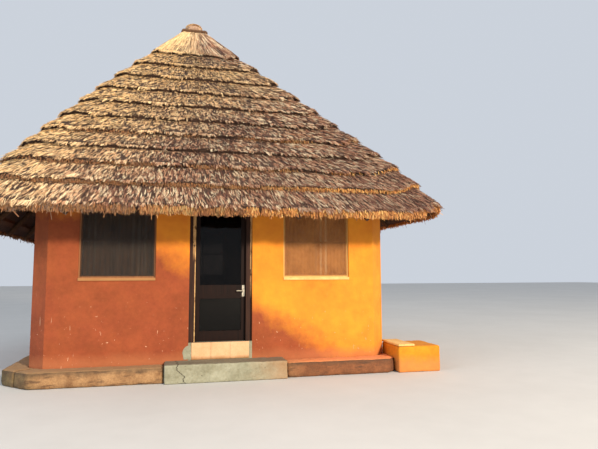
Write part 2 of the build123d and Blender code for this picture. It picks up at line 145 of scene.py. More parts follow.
class Wiring:
    """Adds nodes to a tree and joins their sockets with short calls."""

    def __init__(self, tree):
        self.tree = tree

    def add(self, kind, inputs=None, **settings):
        node = self.tree.nodes.new(kind)
        for name, value in settings.items():
            setattr(node, name, value)
        for name, value in (inputs or {}).items():
            self.feed(node.inputs[name], value)
        return node

    def feed(self, socket, value):
        if isinstance(value, bpy.types.NodeSocket):
            self.tree.links.new(value, socket)
        else:
            socket.default_value = value

    def noise(self, vector, scale, detail=4.0, roughness=0.55, distortion=0.0):
        return self.add("ShaderNodeTexNoise", {
            "Vector": vector, "Scale": scale, "Detail": detail,
            "Roughness": roughness, "Distortion": distortion,
        }).outputs["Fac"]

    def ramp(self, value, low, high, out_low=0.0, out_high=1.0):
        return self.add("ShaderNodeMapRange", {
            "Value": value, "From Min": low, "From Max": high,
            "To Min": out_low, "To Max": out_high,
        }, clamp=True).outputs["Result"]

    def math(self, operation, first, second=0.0):
        node = self.add("ShaderNodeMath", operation=operation)
        self.feed(node.inputs[0], first)
        self.feed(node.inputs[1], second)
        return node.outputs[0]

    def plus(self, first, second):
        return self.math("ADD", first, second)

    def minus(self, first, second):
        return self.math("SUBTRACT", first, second)

    def times(self, first, second):
        return self.math("MULTIPLY", first, second)

    def within(self, value, middle, reach):
        """A mask that is full where value lies no further than reach from middle."""
        return self.math("LESS_THAN", self.math("ABSOLUTE", self.minus(value, middle)), reach)

    def mix(self, share, first, second):
        inputs = {"Factor": share, "A": first, "B": second}
        return self.add("ShaderNodeMix", inputs, data_type="RGBA").outputs["Result"]

    def stretched(self, vector, scale):
        node = self.add("ShaderNodeVectorMath", operation="MULTIPLY")
        self.feed(node.inputs[0], vector)
        self.feed(node.inputs[1], scale)
        return node.outputs[0]

    def axes(self, vector):
        return self.add("ShaderNodeSeparateXYZ", {"Vector": vector}).outputs

    def group(self, tree, **inputs):
        return self.add("ShaderNodeGroup", inputs, node_tree=tree).outputs


def shared_group(name, inputs, outputs):
    """A node group with named inputs and outputs, and the wiring to fill it."""
    tree = bpy.data.node_groups.new(name, "ShaderNodeTree")
    for socket, kind in inputs.items():
        tree.interface.new_socket(socket, in_out="INPUT", socket_type=kind)
    for socket, kind in outputs.items():
        tree.interface.new_socket(socket, in_out="OUTPUT", socket_type=kind)
    wiring = Wiring(tree)
    source = wiring.add("NodeGroupInput").outputs
    sink = wiring.add("NodeGroupOutput").inputs
    return tree, wiring, source, sink


FLOAT, VECTOR, COLOR = "NodeSocketFloat", "NodeSocketVector", "NodeSocketColor"


def make_mottle_group():
    """Two tones that drift into each other in patches of two sizes."""
    inputs = {"Place": VECTOR, "Scale": FLOAT, "Dark": COLOR, "Light": COLOR}
    tree, w, source, sink = shared_group("mottle", inputs, {"Color": COLOR})
    broad = w.noise(source["Place"], source["Scale"], 5.0, 0.6)
    fine = w.noise(source["Place"], w.times(source["Scale"], 7.3), 3.0, 0.6)
    share = w.ramp(w.plus(w.times(broad, 0.7), w.times(fine, 0.3)), 0.34, 0.66)
    w.feed(sink["Color"], w.mix(share, source["Dark"], source["Light"]))
    return tree


def make_rising_damp_group():
    """A mask that is full below a height and fades upwards along a ragged edge."""
    inputs = {"Place": VECTOR, "Height": FLOAT, "Fade": FLOAT, "Ragged": FLOAT}
    tree, w, source, sink = shared_group("rising_damp", inputs, {"Mask": FLOAT})
    edge = w.times(w.noise(source["Place"], 3.1, 6.0, 0.65), source["Ragged"])
    above = w.minus(w.axes(source["Place"])["Z"], w.plus(source["Height"], edge))
    w.feed(sink["Mask"], w.ramp(above, 0.0, w.plus(source["Fade"], 0.001), 1.0, 0.0))
    return tree


def make_flake_group():
    """Small patches with crisp edges, as where a coat has chipped off."""
    inputs = {"Place": VECTOR, "Scale": FLOAT, "Bare": FLOAT}
    tree, w, source, sink = shared_group("flakes", inputs, {"Mask": FLOAT})
    patches = w.noise(source["Place"], source["Scale"], 7.0, 0.62, 0.4)
    low = w.minus(1.0, source["Bare"])
    w.feed(sink["Mask"], w.ramp(patches, low, w.plus(low, 0.025)))
    return tree


def make_streak_group():
    """Long soft lines along one direction, such as grain or brush marks."""
    inputs = {"Place": VECTOR, "Stretch": VECTOR, "Contrast": FLOAT}
    tree, w, source, sink = shared_group("streaks", inputs, {"Value": FLOAT})
    value = w.noise(w.stretched(source["Place"], source["Stretch"]), 1.0, 6.0, 0.6, 0.25)
    low = w.minus(0.5, source["Contrast"])
    high = w.plus(0.5, source["Contrast"])
    w.feed(sink["Value"], w.ramp(value, low, high))
    return tree


MOTTLE = make_mottle_group()
RISING_DAMP = make_rising_damp_group()
FLAKES = make_flake_group()
STREAKS = make_streak_group()


# Materials


class Finish(Wiring):
    """A material with its own shader; fixed values go on the shader's sockets."""

    def __init__(self, name, roughness=0.9, **fixed):
        self.material = bpy.data.materials.new(name)
        self.material.use_nodes = True
        super().__init__(self.material.node_tree)
        self.shader = self.tree.nodes["Principled BSDF"]
        self.shader.inputs["Roughness"].default_value = roughness
        for socket, value in fixed.items():
            self.shader.inputs[socket.replace("_", " ")].default_value = value
        self.place = self.add("ShaderNodeTexCoord").outputs["Object"]

    def mottled(self, scale, dark, light):
        outputs = self.group(MOTTLE, Place=self.place, Scale=scale, Dark=dark, Light=light)
        return outputs["Color"]

    def damp(self, height, fade, ragged):
        edge = {"Height": height, "Fade": fade, "Ragged": ragged}
        return self.group(RISING_DAMP, Place=self.place, **edge)["Mask"]

    def flakes(self, scale, bare):
        return self.group(FLAKES, Place=self.place, Scale=scale, Bare=bare)["Mask"]

    def streaks(self, stretch, contrast):
        outputs = self.group(STREAKS, Place=self.place, Stretch=stretch, Contrast=contrast)
        return outputs["Value"]

    def facing_up(self):
        """How far the surface faces up, from its shape before any bump."""
        return self.axes(self.add("ShaderNodeNewGeometry").outputs["True Normal"])["Z"]

    def tint(self, value):
        self.feed(self.shader.inputs["Base Color"], value)

    def bump(self, height, strength, distance):
        node = self.add("ShaderNodeBump", {"Height": height})
        node.inputs["Strength"].default_value = strength
        node.inputs["Distance"].default_value = distance
        self.feed(self.shader.inputs["Normal"], node.outputs["Normal"])


def wall_plaster():
    """Limewashed golden plaster with a painted shadow in terracotta that reaches higher towards
    the left.
    """
    left_end, right_end, shadow_at_left, shadow_at_right = -1.6, 1.75, 1.62, -0.42
    w = Finish("wall_plaster", 0.92)
    gold = w.mottled(0.9, color(206, 114, 26), color(236, 154, 36))
    brushed = w.streaks((9, 9, 2.2), 0.3)
    coat = w.mix(w.times(brushed, 0.22), gold, color(214, 102, 38))
    # Terracotta painted shadow: high on the left, running out before the right end.
    shadow_tone = w.mottled(3.0, color(110, 41, 24), color(142, 62, 37))
    along = w.axes(w.place)["X"]
    shadow_height = w.ramp(along, left_end, right_end, shadow_at_left, shadow_at_right)
    painted_shadow = w.damp(shadow_height, fade=0.42, ragged=0.7)
    # The painted shadow goes over the golden coat here.
    worn = w.mix(w.times(painted_shadow, 0.9), coat, shadow_tone)
    foot = w.damp(height=0.16, fade=0.12, ragged=0.16)
    worn = w.mix(w.times(foot, 0.5), worn, color(182, 112, 70))
    chips = w.flakes(scale=24.0, bare=0.33)
    scratched = w.noise(w.stretched(w.place, (1.0, 1.0, 0.1)), 38.0, 3.0, 0.5)
    marks = w.math("MAXIMUM", chips, w.ramp(scratched, 0.71, 0.725))
    chipped = w.times(marks, w.damp(height=0.25, fade=0.7, ragged=0.5))
    w.tint(w.mix(chipped, worn, color(226, 176, 140)))
    rough = w.noise(w.place, 60.0, 8.0, 0.65)
    waves = w.noise(w.place, 3.5, 3.0, 0.5)
    height = w.plus(w.times(waves, 2.5), w.times(rough, 0.5))
    w.bump(w.minus(height, w.times(chipped, 0.5)), 0.55, 0.012)
    return w.material


def block_plaster():
    """The same golden coat, fresher, on the low block."""
    w = Finish("block_plaster", 0.9)
    coat = w.mottled(2.4, color(188, 108, 8), color(212, 142, 16))
    foot = w.damp(height=0.02, fade=0.12, ragged=0.2)
    w.tint(w.mix(w.times(foot, 0.6), coat, color(196, 120, 70)))
    rough = w.noise(w.place, 70.0, 8.0, 0.65)
    w.bump(w.plus(w.noise(w.place, 5.0, 3.0), w.times(rough, 0.3)), 0.5, 0.012)
    return w.material


def weathered_plinth():
    """Tan cement with pits and stains: mossy at one end, orange at the other."""
    w = Finish("weathered_plinth", 0.9)
    axes = w.axes(w.place)
    along = w.plus(axes["X"], w.times(w.noise(w.place, 2.0, 5.0, 0.6), 0.9))
    orange_share = w.ramp(along, 0.8, 1.7)
    moss_share = w.ramp(along, -2.1, -1.7, 1.0, 0.0)
    tan = w.mottled(7.0, color(118, 82, 50), color(178, 138, 94))
    # The orange is darkened part way, as painted shade on the front.
    orange = w.mottled(6.0, color(92, 54, 30), color(142, 88, 52))
    moss = w.mottled(9.0, color(52, 46, 26), color(112, 98, 62))
    body = w.mix(moss_share, w.mix(orange_share, tan, orange), moss)
    stains = w.noise(w.stretched(w.place, (1.0, 1.0, 5.0)), 5.5, 7.0, 0.68)
    body = w.mix(w.times(w.ramp(stains, 0.54, 0.66), 0.75), body, color(74, 50, 34))
    ragged = w.times(w.noise(w.place, 6.0, 5.0, 0.6), 0.12)
    rim = w.ramp(w.plus(axes["Z"], ragged), 0.19, 0.24)
    body = w.mix(w.times(rim, 0.65), body, color(66, 50, 34))
    # Top faces are painted lighter, as painted light falling on them.
    dust = w.mix(orange_share, color(160, 124, 84), color(232, 146, 90))
    body = w.mix(w.times(w.ramp(w.facing_up(), 0.7, 0.95), 0.8), body, dust)
    pits = w.flakes(scale=60.0, bare=0.35)
    w.tint(w.mix(w.times(pits, 0.8), body, color(60, 42, 28)))
    w.bump(w.minus(w.noise(w.place, 18.0, 8.0, 0.7), w.times(pits, 0.35)), 0.7, 0.015)
    return w.material


def bare_cement():
    """Grey-green cement with pits, a long crack and brown dust to one side."""
    crack_slant, crack_place, crack_width = 0.45, -0.56, 0.007
    w = Finish("bare_cement", 0.9)
    axes = w.axes(w.place)
    body = w.mottled(4.0, color(118, 114, 90), color(162, 160, 138))
    dusty = w.plus(axes["X"], w.times(w.noise(w.place, 3.0, 5.0, 0.6), 0.8))
    body = w.mix(w.ramp(dusty, 0.7, 1.25, 0.0, 0.7), body, color(160, 118, 78))
    body = w.mix(w.ramp(w.facing_up(), 0.6, 0.95, 0.0, 0.7), body, color(96, 84, 66))
    pits = w.flakes(scale=34.0, bare=0.34)
    body = w.mix(w.times(pits, 0.8), body, color(92, 84, 66))
    wander = w.times(w.noise(w.stretched(w.place, (0.0, 1.0, 1.0)), 9.0, 6.0, 0.7), 0.22)
    run = w.plus(axes["X"], w.times(axes["Z"], crack_slant))
    off = w.math("ABSOLUTE", w.minus(w.minus(run, wander), crack_place))
    crack = w.ramp(off, 0.002, crack_width, 1.0, 0.0)
    w.tint(w.mix(crack, body, color(48, 40, 30)))
    height = w.minus(w.noise(w.place, 22.0, 8.0, 0.7), w.times(pits, 0.3))
    w.bump(w.minus(height, crack), 0.6, 0.012)
    return w.material


def cream_cement():
    """Pale smooth cement, darker towards the left as painted shade, like the wall."""
    w = Finish("cream_cement", 0.8)
    body = w.mottled(6.0, color(206, 160, 88), color(232, 196, 124))
    # Darker towards the left, as painted shade.
    painted_shade_left = w.ramp(w.axes(w.place)["X"], -0.8, -0.4, 0.8, 0.0)
    body = w.mix(painted_shade_left, body, color(140, 84, 46))
    dirt = w.flakes(scale=18.0, bare=0.38)
    w.tint(w.mix(w.times(dirt, 0.6), body, color(150, 112, 70)))
    w.bump(w.noise(w.place, 40.0, 6.0, 0.6), 0.35, 0.004)
    return w.material


def glazed_tile():
    """Smooth glazed tile with brown grime along its foot."""
    w = Finish("glazed_tile", 0.22)
    body = w.mottled(7.0, color(206, 158, 112), color(222, 180, 136))
    grime = w.damp(height=0.2, fade=0.05, ragged=0.06)
    w.tint(w.mix(grime, body, color(150, 104, 60)))
    w.feed(w.shader.inputs["Roughness"], w.ramp(w.noise(w.place, 20.0), 0.3, 0.7, 0.18, 0.42))
    w.bump(w.noise(w.place, 9.0, 2.0), 0.1, 0.002)
    return w.material


def timber(name, dark, light, roughness, stretch, strength=0.3, **fixed):
    """Wood with grain along the length that stretch leaves long."""
    w = Finish(name, roughness, **fixed)
    grain = w.streaks(stretch, 0.22)
    shade = w.ramp(w.noise(w.place, 2.5, 3.0), 0.3, 0.7, 0.0, 0.35)
    w.tint(w.mix(shade, w.mix(grain, dark, light), dark))
    w.bump(grain, strength, 0.003)
    return w.material


def framed_timber():
    """Dark door timber with pale strips of painted sunlight along its edges, broken into flakes.
    """
    stop_middle, stop_reach = -0.35, 0.0215
    corner_middle, corner_reach = -0.337, 0.0085
    right_edge = 0.39
    w = Finish("framed_timber", 0.6, Specular_IOR_Level=0.2)
    grain = w.streaks((60, 60, 3), 0.22)
    # Near black, partly the timber's own dark stain and partly painted shade.
    dark = w.mix(grain, color(26, 13, 8), color(64, 35, 20))
    axes = w.axes(w.place)
    # The pale strips are painted sunlight: on the stop high up, on the left corner, and on the
    # right edge above the shade.
    stop = w.within(axes["X"], stop_middle, stop_reach)
    stop = w.times(stop, w.ramp(axes["Z"], 1.5, 1.75))
    corner = w.within(axes["X"], corner_middle, corner_reach)
    right = w.math("GREATER_THAN", axes["X"], right_edge)
    right = w.times(right, w.ramp(axes["Z"], 1.0, 1.3))
    edges = w.math("MAXIMUM", w.math("MAXIMUM", stop, corner), right)
    flakes = w.noise(w.stretched(w.place, (1.0, 1.0, 0.4)), 24.0, 6.0, 0.65)
    flakes = w.ramp(flakes, 0.36, 0.46)
    pale = w.mottled(12.0, color(158, 112, 66), color(222, 182, 122))
    w.tint(w.mix(w.times(edges, flakes), dark, pale))
    w.bump(w.plus(grain, w.times(flakes, 0.6)), 0.3, 0.003)
    return w.material


def smoky_glass(name, dark, light, index, opacity=1.0):
    """Glass with a film of dust; opacity below 1 lets daylight straight through."""
    w = Finish(name, 0.04, Transmission_Weight=0.96, IOR=index, Alpha=opacity)
    w.tint(w.mottled(6.0, dark, light))
    film = w.ramp(w.noise(w.place, 12.0, 6.0), 0.35, 0.75, 0.02, 0.09)
    w.feed(w.shader.inputs["Roughness"], film)
    return w.material


def insect_gauze(name, dark, light):
    """Fine window gauze, half open between its threads."""
    threads_per_metre, thread_share, open_alpha = 620.0, 0.34, 0.1
    w = Finish(name, 0.8)
    axes = w.axes(w.place)
    threads = []
    for value in (w.plus(axes["X"], axes["Y"]), axes["Z"]):
        turn = w.math("FRACT", w.times(value, threads_per_metre))
        threads.append(w.math("LESS_THAN", turn, thread_share))
    weave = w.math("MAXIMUM", threads[0], threads[1])
    w.feed(w.shader.inputs["Alpha"], w.ramp(weave, 0.0, 1.0, open_alpha, 1.0))
    w.tint(w.mottled(4.0, dark, light))
    w.bump(weave, 0.2, 0.0004)
    return w.material


def worn_steel():
    """Bright metal with fine scuffs."""
    w = Finish("worn_steel", 0.35, Metallic=1.0)
    w.tint(w.mottled(60.0, color(150, 140, 122), color(214, 206, 188)))
    scuffs = w.ramp(w.noise(w.place, 90.0, 5.0), 0.3, 0.7, 0.25, 0.55)
    w.feed(w.shader.inputs["Roughness"], scuffs)
    w.bump(w.noise(w.place, 300.0, 3.0), 0.15, 0.0005)
    return w.material


def straw(name, stops, weathered_and_shade, painted_side_tone, painted_side_range):
    """Dry grass: each stalk has a tone of its own, and some patches are weather-worn.

    stops are the colours of a stalk from the darkest tone to the palest. weathered_and_shade
    is the patches' colour, also laid on towards the low right side, where on the roof's
    straw it is painted shade. painted_side_tone is laid on towards the high left side, where
    painted_side_range says how far up that side it starts and is full: painted sunlight on
    the roof's straw, painted shade on the golden straw of the eave.
    """
    w = Finish(name, 0.75)
    stalk = w.add("ShaderNodeAttribute", attribute_name="stalk_tone").outputs["Fac"]
    tones = w.add("ShaderNodeValToRGB", {"Fac": stalk})
    ramp = tones.color_ramp
    while len(ramp.elements) < len(stops):
        ramp.elements.new(0.5)
    for k, stop in enumerate(stops):
        ramp.elements[k].position = k / (len(stops) - 1)
        ramp.elements[k].color = stop
    patches = w.ramp(w.noise(w.place, 1.3, 6.0, 0.65), 0.4, 0.62)
    streak = w.ramp(w.noise(w.place, 30.0, 3.0, 0.6), 0.35, 0.65)
    share = w.times(patches, w.plus(0.3, w.times(streak, 0.5)))
    aged_and_shaded = w.mix(w.times(share, 0.6), tones.outputs["Color"], weathered_and_shade)
    axes = w.axes(w.place)
    # Towards the low right the grass takes the weathered_and_shade colour as painted shade;
    # towards the high left it takes the painted side tone.
    high_left = w.minus(w.times(axes["Z"], 0.9), w.times(axes["X"], 0.6))
    high_left = w.plus(high_left, w.times(w.noise(w.place, 1.1, 4.0), 1.6))
    aged_and_shaded = w.mix(w.ramp(high_left, 0.8, 3.8, 0.75, 0.05), aged_and_shaded, weathered_and_shade)
    pale_share = w.plus(w.times(stalk, 0.78), 0.2)
    # Over the cap, the side right of the peak loses the painted side tone, as painted shade.
    cap = w.ramp(axes["Z"], 4.6, 5.2)
    past_peak = w.plus(w.times(axes["X"], 2.0), 2.4)
    high_left = w.minus(high_left, w.times(cap, past_peak))
    w.tint(w.mix(w.times(w.ramp(high_left, *painted_side_range), pale_share), aged_and_shaded, painted_side_tone))
    fibres = w.noise(w.stretched(w.place, (1.0, 1.0, 0.2)), 900.0, 2.0)
    w.bump(fibres, 0.3, 0.001)
    return w.material


def thatch_ground(name, dark, light):
    """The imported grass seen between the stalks."""
    w = Finish(name, 0.95)
    w.tint(w.mottled(26.0, dark, light))
    w.bump(w.noise(w.place, 120.0, 6.0, 0.7), 0.8, 0.01)
    return w.material


def cotton():
    """Woven curtain cloth in warm brown with pale stripes, with painted shade in the left window.
    """
    stripe_repeat, stripe_start, stripe_share = 0.62, 9.863, 0.36
    lines_in_repeat, line_share = 8.27, 0.4
    w = Finish("cotton", 0.95, Sheen_Weight=0.2)
    body = w.mottled(8.0, color(150, 88, 46), color(196, 128, 78))
    weave = w.plus(w.streaks((600, 600, 40), 0.3), w.streaks((40, 40, 600), 0.3))
    cloth = w.mix(w.times(weave, 0.12), body, color(120, 66, 34))
    along = w.axes(w.place)["X"]
    repeat = w.plus(w.math("DIVIDE", along, stripe_repeat), stripe_start)
    repeat = w.math("FRACT", repeat)
    lines = w.math("FRACT", w.times(repeat, lines_in_repeat))
    lines = w.math("LESS_THAN", lines, line_share)
    stripes = w.times(lines, w.math("LESS_THAN", repeat, stripe_share))
    # In the left window the stripes fade and the cloth darkens, as painted shade.
    stripe_light = w.ramp(along, -0.2, 0.2, 0.25, 0.9)
    striped = w.mix(w.times(stripes, stripe_light), cloth, color(252, 240, 210))
    w.tint(w.mix(w.ramp(along, -0.2, 0.2, 0.6, 0.0), striped, color(46, 38, 32)))
    w.bump(weave, 0.3, 0.0006)
    return w.material


def pale_floor():
    w = Finish("pale_floor", 0.9)
    w.tint(w.mottled(0.4, color(194, 192, 188), color(202, 200, 196)))
    return w.material


ALONG_POST = (60, 60, 3)

MATERIALS = {
    "plaster": wall_plaster(),
    "block": block_plaster(),
    "plinth": weathered_plinth(),
    "cement": bare_cement(),
    "cream": cream_cement(),
    "tile": glazed_tile(),
    "pole": timber("pole", color(52, 34, 22), color(96, 66, 42), 0.85, (30, 30, 30)),
    # Near-black varnish on the door leaf, partly its own colour and partly painted shade.
    "varnish": timber(
        "varnish", color(14, 6, 4), color(36, 17, 10), 0.5, ALONG_POST, Specular_IOR_Level=0.12
    ),
    "cream_wood": timber(
        "cream_wood", color(190, 144, 74), color(226, 186, 106), 0.6, ALONG_POST
    ),
    # Cream wood darkened as painted shade, for the front left window frame.
    "shaded_wood": timber("shaded_wood", color(112, 66, 36), color(168, 112, 62), 0.7, ALONG_POST),
    "painted_bar": timber(
        "painted_bar", color(62, 36, 22), color(104, 66, 42), 0.55, ALONG_POST
    ),
    "framed": framed_timber(),
    # Door glass tinted near black, as painted shade of the dark room behind.
    "door_pane": smoky_glass("door_pane", color(40, 34, 30), color(62, 54, 48), 1.25),
    "window_pane": smoky_glass(
        "window_pane", color(150, 144, 134), color(190, 184, 172), 1.46, opacity=0.3
    ),
    "brown_gauze": insect_gauze("brown_gauze", color(136, 84, 36), color(184, 122, 62)),
    # Darker gauze for the front left window, as painted shade.
    "shaded_gauze": insect_gauze("shaded_gauze", color(24, 20, 16), color(46, 38, 30)),
    "steel": worn_steel(),
    "straw": straw(
        "straw",
        stops=[color(30, 19, 16), color(126, 84, 64), color(218, 162, 122), color(255, 238, 200)],
        # Painted sunlight on the high left of the roof and painted shade on its low right.
        weathered_and_shade=color(112, 74, 62), painted_side_tone=color(255, 222, 164), painted_side_range=(3.7, 5.0),
    ),
    "golden_straw": straw(
        "golden_straw",
        stops=[color(46, 23, 12), color(150, 84, 34), color(232, 158, 66), color(255, 218, 132)],
        # Painted shade on the left of the eave fringe, in the painted side tone.
        weathered_and_shade=color(176, 120, 70), painted_side_tone=color(104, 78, 62), painted_side_range=(2.0, 3.3),
    ),
    "rope": timber("rope", color(60, 40, 28), color(128, 92, 62), 0.85, (90, 90, 90), 0.6),
    # The grass between the stalks is dark, as painted shade in the gaps.
    "thatch_ground": thatch_ground("thatch_ground", color(34, 23, 20), color(84, 60, 46)),
    "cut_stalks": thatch_ground("cut_stalks", color(120, 92, 74), color(200, 166, 138)),
    "cotton": cotton(),
    "floor": pale_floor(),
}

# The finish of a CAD node by the start of its name; all others are plastered
FINISH_OF = {
    "plinth": "plinth",
    "side_block": "block",
    "side_block_coping": "cream",
    "entry_step": "cement",
    "floor_slab": "cement",
    "threshold": "cement",
    "riser_tiles": "tile",
    "window_sills": "cream",
    "window_frame": "cream_wood",
    # The front left window frame is darker, as painted shade.
    "window_frame_front_left": "shaded_wood",
    "window_glass": "window_pane",
    "door_glass": "door_pane",
    "window_bars": "painted_bar",
    "door_frame": "framed",
    "door_leaf": "varnish",
    "door_handle": "steel",
    "frame_hinges": "steel",
    "leaf_hinges": "steel",
    "curtain_rods": "steel",
    "curtain_front": "cotton",
    "rafters": "pole",
    "hip_rafters": "pole",
    "roof_battens": "pole",
    "wall_plate": "pole",
    "peak_hub": "pole",
    "thatch": "thatch_ground",
    "peak_knob": "cut_stalks",
    "peak_binding": "thatch_ground",
}


def paint_nodes():
    """Each CAD node takes the finish of the longest name that it starts with."""
    for name, node in NODES.items():
        starts = [start for start in FINISH_OF if name.startswith(start)]
        finish = FINISH_OF[max(starts, key=len)] if starts else "plaster"
        node.data.materials.clear()
        node.data.materials.append(MATERIALS[finish])


# Meshes


def show(name, mesh, material):
    """A mesh as a piece of the hut in one of the materials."""
    mesh.materials.append(MATERIALS[material])
    piece = bpy.data.objects.new(name, mesh)
    bpy.context.scene.collection.objects.link(piece)
    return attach(piece, "hut")


def new_piece(name, points, faces, material):
    """A piece made from points and faces."""
    mesh = bpy.data.meshes.new(name)
    mesh.from_pydata([tuple(point) for point in points], [], faces)
    return show(name, mesh, material)


def shade_smooth(mesh):
    for polygon in mesh.polygons:
        polygon.use_smooth = True


def ribbons(name, heads, tips, sides, taper, tones, material):
    """Many flat stalks in one mesh, each with one face.

    sides has the half width of each stalk at its head, and taper is the share of it at
    the tip. The tones go from 0, the darkest, to 1.
    """
    count = len(heads)
    narrowed = sides * taper
    points = np.stack([heads - sides, heads + sides, tips - narrowed, tips + narrowed], axis=1)
    corners = np.arange(count)[:, None] * 4 + [0, 1, 3, 2]
    mesh = bpy.data.meshes.new(name)
    mesh.vertices.add(count * 4)
    mesh.vertices.foreach_set("co", points.astype(np.float32).ravel())
    mesh.loops.add(count * 4)
    mesh.loops.foreach_set("vertex_index", corners.astype(np.int32).ravel())
    mesh.polygons.add(count)
    mesh.polygons.foreach_set("loop_start", np.arange(0, count * 4, 4, dtype=np.int32))
    mesh.update(calc_edges=True)
    tone = mesh.attributes.new("stalk_tone", "FLOAT", "POINT")
    tone.data.foreach_set("value", np.repeat(np.clip(tones, 0, 1), 4).astype(np.float32))
    show(name, mesh, material)


def unit(rows):
    """The same vectors, one in a row, at length 1."""
    return rows / np.maximum(np.linalg.norm(rows, axis=1, keepdims=True), 1e-9)


# Courses of thatch


def sloping_faces(mesh, least_rise=0.45):
    """Faces whose normal rises at least so much, over points joined where they meet."""
    keys, points, faces = {}, [], []
    for face in mesh.polygons:
        if face.normal.z < least_rise:
            continue
        corners = []
        for index in face.vertices:
            place = mesh.vertices[index].co
            key = (round(place.x, 4), round(place.y, 4), round(place.z, 4))
            if key not in keys:
                keys[key] = len(points)
                points.append(key)
            corners.append(keys[key])
        faces.append(corners)
    return points, faces


def rim_neighbours(faces):
    """For each point on an open edge of the faces, the points next to it on that edge."""
    used = {}
    for corners in faces:
        for a, b in zip(corners, corners[1:] + corners[:1]):
            used[frozenset((a, b))] = used.get(frozenset((a, b)), 0) + 1
    joined = {}
    for edge, count in used.items():
        if count == 1:
            a, b = edge
            joined.setdefault(a, []).append(b)
            joined.setdefault(b, []).append(a)
    return joined


def outer_loops(node):
    """The upper and lower edge loops of the sloping outer face of a roof node.

    Both come as equal rows of points that run round the roof, in step with each other.
    """
    points, faces = sloping_faces(NODES[node].data)
    joined = rim_neighbours(faces)
    loops = []
    while joined:
        start = min(joined)
        loop, here = [start], joined[start][0]
        while here != start:
            loop.append(here)
            here = next(n for n in joined[here] if n != loop[-2])
        for index in loop:
            del joined[index]
        loops.append(in_turn(np.array([points[i] for i in loop])))
    loops.sort(key=lambda loop: -loop[:, 2].mean())
    if len(loops) == 1:
        top = max(points, key=lambda point: point[2])
        loops.insert(0, np.repeat([top], len(loops[0]), axis=0))
    return loops[0], loops[-1]


def in_turn(loop):
    """The same loop in the order of its angle about its middle."""
    centre = (loop.min(axis=0) + loop.max(axis=0)) / 2
    angles = np.arctan2(loop[:, 1] - centre[1], loop[:, 0] - centre[0])
    return loop[np.argsort(angles)]


def lengths_round(loop):
    """How far along a closed loop each of its points lies, and its first point again."""
    steps = np.linalg.norm(np.roll(loop, -1, axis=0) - loop, axis=1)
    return np.concatenate([[0], np.cumsum(steps)])


def spread_round(loop, ends, count):
    """count points along a closed loop at even shares of the lengths in ends."""
    places = np.arange(count) / count * ends[-1]
    closed = np.vstack([loop, loop[:1]])
    return np.stack([np.interp(places, ends, closed[:, k]) for k in range(3)], axis=1)


class RoofBand:
    """The outer face of one course, as a smooth strip to lay stalks on."""

    SAMPLES = 720

    def __init__(self, node):
        head, foot = outer_loops(node)
        ends = lengths_round(foot)
        self.round_length = ends[-1]
        self.head = spread_round(head, ends, self.SAMPLES)
        self.foot = spread_round(foot, ends, self.SAMPLES)
        fall = self.foot - self.head
        self.fall_length = np.linalg.norm(fall, axis=1).mean()
        normal = np.cross(self.along(6), fall)
        self.normal = unit(normal * np.sign(normal[:, 2:3]))

    def along(self, reach):
        """Directions along the foot, over a few samples either way."""
        return np.roll(self.foot, -reach, axis=0) - np.roll(self.foot, reach, axis=0)

    def sample(self, rows, places):
        """Values of rows at places from 0 to 1 round the roof."""
        at = (places % 1) * self.SAMPLES
        first = np.floor(at).astype(int) % self.SAMPLES
        share = (at - np.floor(at))[:, None]
        return rows[first] * (1 - share) + rows[(first + 1) % self.SAMPLES] * share

    def point(self, places, down):
        """A point on the strip: places round it, down from 0 at the head to 1 at the foot."""
        head, foot = self.sample(self.head, places), self.sample(self.foot, places)
        return head + (foot - head) * down[:, None]

    def foot_point(self, places):
        return self.point(places, np.ones(len(places)))

    def outward(self, places):
        """Level directions away from the roof."""
        return unit(self.sample(self.normal, places) * [1, 1, 0])


def wavy(places, rng, waves, depth):
    """A smooth random wave round a closed loop, for places from 0 to 1."""
    total = np.zeros_like(places)
    for k in waves:
        turn = rng.uniform(0, 2 * math.pi)
        total += np.sin(2 * math.pi * k * places + turn) * rng.uniform(0.5, 1.0)
    return depth * total / math.sqrt(len(waves))


def turned_sides(along, normal, widths, rng, twist):
    """Half width vectors across each stalk, turned about its length."""
    across = unit(np.cross(along, normal))
    turn = rng.normal(0, twist, len(widths))[:, None]
    return (across * np.cos(turn) + normal * np.sin(turn)) * widths[:, None] / 2


